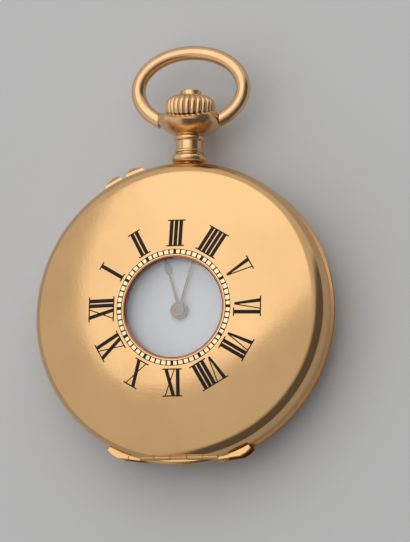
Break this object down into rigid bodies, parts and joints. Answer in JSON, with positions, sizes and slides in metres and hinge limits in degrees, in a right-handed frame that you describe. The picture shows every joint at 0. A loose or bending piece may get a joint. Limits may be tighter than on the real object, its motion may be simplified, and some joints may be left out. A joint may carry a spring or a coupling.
{
  "type": "half hunter pocket watch",
  "caption": "Half hunter pocket watch with a windowed front cover, pendant crown and bow, hinged back and cuvette, and a lever movement inside.",
  "frame": {"origin": "centre of the flat face of the back cover, on which the watch lies", "axes": "+X to the right seen from the front, +Y towards the pendant, +Z out of the dial"},
  "size_m": [0.05, 0.07, 0.0135],
  "materials": {
    "gold": "polished yellow to rose 18 carat gold, finely worn",
    "pendant_gold": "polished rose gold",
    "ring_gold": "polished copper-red gold",
    "black_enamel": "black champleve enamel",
    "white_enamel": "white vitreous enamel",
    "clear_glass": "clear watch glass",
    "hand_gold": "polished rose gold hands",
    "gilt_brass": "frosted and gilt",
    "steel": "polished steel",
    "ruby": "polished synthetic ruby"
  },
  "bodies": {
    "case": {"case_middle": "gold", "setting_pin_guard": "gold", "bezel": "gold", "front_hinge_pin": "gold", "back_hinge_pin": "gold", "cuvette_hinge_pin": "gold", "pendant": "pendant_gold", "dial": "white_enamel", "crystal": "clear_glass", "mainplate": "gilt_brass", "barrel_bridge": "gilt_brass", "train_bridge": "gilt_brass", "balance_cock": "gilt_brass", "pallet_cock": "gilt_brass", "dial_ring": "gilt_brass", "lift_spring": "steel", "click_spring": "steel", "balance_spring": "steel", "bridge_screws": "steel", "pallet_cock_screw": "steel", "case_screws": "steel", "jewels": "ruby"},
    "front_cover": {"front_cover": "gold", "lid_numerals": "black_enamel", "lid_minute_track": "black_enamel", "window_ring": "ring_gold", "window_glass": "clear_glass"},
    "back_cover": {"back_cover": "gold"},
    "cuvette": {"cuvette": "gold"},
    "bow": {"bow": "pendant_gold"},
    "stem": {"winding_stem": "steel", "winding_pinion": "steel"},
    "crown": {"crown": "pendant_gold"},
    "lock_spring": {"lock_spring": "steel"},
    "crown_wheel": {"crown_wheel": "steel"},
    "ratchet": {"ratchet_wheel": "steel", "barrel_arbor": "steel"},
    "click": {"click": "steel"},
    "setting_pin": {"setting_pin": "pendant_gold"},
    "yoke": {"yoke": "steel"},
    "clutch": {"clutch": "steel"},
    "minute_hand": {"cannon_pinion": "steel", "minute_hand": "hand_gold"},
    "minute_wheel": {"minute_wheel": "gilt_brass"},
    "hour_hand": {"hour_wheel": "gilt_brass", "hour_hand": "hand_gold"},
    "setting_wheel": {"setting_wheel": "steel"},
    "escape_wheel": {"escape_wheel": "steel"},
    "fourth_wheel": {"fourth_wheel": "gilt_brass"},
    "third_wheel": {"third_wheel": "gilt_brass"},
    "centre_wheel": {"centre_wheel": "gilt_brass"},
    "barrel": {"barrel": "gilt_brass", "mainspring": "steel"},
    "pallet_fork": {"pallet_fork": "steel"},
    "balance": {"balance": "gilt_brass"},
    "regulator": {"regulator": "steel"}
  },
  "joints": [
    {"name": "front_cover_hinge", "type": "hinge", "parent": "case", "child": "front_cover", "pos_m": [0, -0.02395, 0.008], "axis": [1, 0, 0], "range_deg": [0, 95]},
    {"name": "back_cover_hinge", "type": "hinge", "parent": "case", "child": "back_cover", "pos_m": [0, -0.02395, 0.005], "axis": [-1, 0, 0], "range_deg": [0, 95]},
    {"name": "cuvette_hinge", "type": "hinge", "parent": "case", "child": "cuvette", "pos_m": [0, -0.02178, 0.00378], "axis": [-1, 0, 0], "range_deg": [0, 77]},
    {"name": "bow_swing", "type": "hinge", "parent": "case", "child": "bow", "pos_m": [0, 0.0325, 0.0065], "axis": [1, 0, 0], "range_deg": [-85, 85]},
    {"name": "stem_turn", "type": "hinge", "parent": "case", "child": "stem", "pos_m": [0, 0.011, 0.0065], "axis": [0, 1, 0], "continuous": true},
    {"name": "crown_push", "type": "slide", "parent": "stem", "child": "crown", "axis": [0, -1, 0], "range_m": [0, 0.0008], "stiffness_N_per_m": 500},
    {"name": "lock_spring_bend", "type": "hinge", "parent": "case", "child": "lock_spring", "pos_m": [-0.0194, 0.0112, 0.0056], "axis": [0, 0, -1], "range_deg": [0, 1.4]},
    {"name": "crown_wheel_turn", "type": "hinge", "parent": "case", "child": "crown_wheel", "pos_m": [0, 0.011, 0.0045], "axis": [0, 0, 1], "continuous": true},
    {"name": "ratchet_turn", "type": "hinge", "parent": "case", "child": "ratchet", "pos_m": [-0.0082, 0.0046, 0.0045], "axis": [0, 0, 1], "continuous": true},
    {"name": "click_lift", "type": "hinge", "parent": "case", "child": "click", "pos_m": [-0.01527, 0.00164, 0.0045], "axis": [0, 0, -1], "range_deg": [0, 10]},
    {"name": "setting_pin_push", "type": "slide", "parent": "case", "child": "setting_pin", "axis": [0.4226, -0.9063, 0], "range_m": [0, 0.00045], "stiffness_N_per_m": 300},
    {"name": "yoke_swing", "type": "hinge", "parent": "case", "child": "yoke", "pos_m": [-0.00949, 0.011, 0.0064], "axis": [0, 0, -1], "range_deg": [0, 6.8]},
    {"name": "clutch_slide", "type": "slide", "parent": "stem", "child": "clutch", "axis": [0, -1, 0], "range_m": [0, 0.0009]},
    {"name": "minute_hand_turn", "type": "hinge", "parent": "case", "child": "minute_hand", "pos_m": [0, 0, 0.009], "axis": [0, 0, 1], "continuous": true},
    {"name": "minute_wheel_turn", "type": "hinge", "parent": "case", "child": "minute_wheel", "pos_m": [0, 0.004, 0.008], "axis": [0, 0, 1], "continuous": true},
    {"name": "hour_hand_turn", "type": "hinge", "parent": "case", "child": "hour_hand", "pos_m": [0, 0, 0.009], "axis": [0, 0, 1], "continuous": true},
    {"name": "setting_wheel_turn", "type": "hinge", "parent": "case", "child": "setting_wheel", "pos_m": [0, 0.00899, 0.008], "axis": [0, 0, 1], "continuous": true},
    {"name": "escape_wheel_turn", "type": "hinge", "parent": "case", "child": "escape_wheel", "pos_m": [0.01101, -0.00789, 0.006], "axis": [0, 0, 1], "continuous": true},
    {"name": "fourth_wheel_turn", "type": "hinge", "parent": "case", "child": "fourth_wheel", "pos_m": [0.00931, -0.0029, 0.0053], "axis": [0, 0, 1], "continuous": true},
    {"name": "third_wheel_turn", "type": "hinge", "parent": "case", "child": "third_wheel", "pos_m": [0.004, -0.0051, 0.0056], "axis": [0, 0, 1], "continuous": true},
    {"name": "centre_wheel_turn", "type": "hinge", "parent": "case", "child": "centre_wheel", "pos_m": [0, 0, 0.0063], "axis": [0, 0, 1], "continuous": true},
    {"name": "barrel_turn", "type": "hinge", "parent": "case", "child": "barrel", "pos_m": [-0.0082, 0.0046, 0.0055], "axis": [0, 0, 1], "continuous": true},
    {"name": "pallet_swing", "type": "hinge", "parent": "case", "child": "pallet_fork", "pos_m": [0.0074, -0.0106, 0.006], "axis": [0, 0, 1], "range_deg": [-5, 5]},
    {"name": "balance_swing", "type": "hinge", "parent": "case", "child": "balance", "pos_m": [0.0024, -0.013, 0.0046], "axis": [0, 0, 1], "range_deg": [-270, 270]},
    {"name": "regulator_turn", "type": "hinge", "parent": "case", "child": "regulator", "pos_m": [0.0024, -0.013, 0.0028], "axis": [0, 0, 1], "range_deg": [-15, 15]}
  ],
  "couplings": [
    {"joint": "cuvette_hinge", "follows": "back_cover_hinge", "ratio": 0.8},
    {"joint": "lock_spring_bend", "follows": "crown_push", "rad_per_m": 29.6},
    {"joint": "crown_wheel_turn", "follows": "stem_turn", "ratio": 0.41176},
    {"joint": "ratchet_turn", "follows": "stem_turn", "ratio": -0.28},
    {"joint": "yoke_swing", "follows": "setting_pin_push", "rad_per_m": 252},
    {"joint": "clutch_slide", "follows": "setting_pin_push", "ratio": 2},
    {"joint": "minute_wheel_turn", "follows": "minute_hand_turn", "ratio": -0.33333},
    {"joint": "hour_hand_turn", "follows": "minute_hand_turn", "ratio": 0.083333},
    {"joint": "setting_wheel_turn", "follows": "minute_hand_turn", "ratio": 0.5},
    {"joint": "fourth_wheel_turn", "follows": "escape_wheel_turn", "ratio": -0.1},
    {"joint": "third_wheel_turn", "follows": "escape_wheel_turn", "ratio": 0.013333},
    {"joint": "centre_wheel_turn", "follows": "escape_wheel_turn", "ratio": -0.0016667},
    {"joint": "barrel_turn", "follows": "escape_wheel_turn", "ratio": 0.00020833}
  ]
}
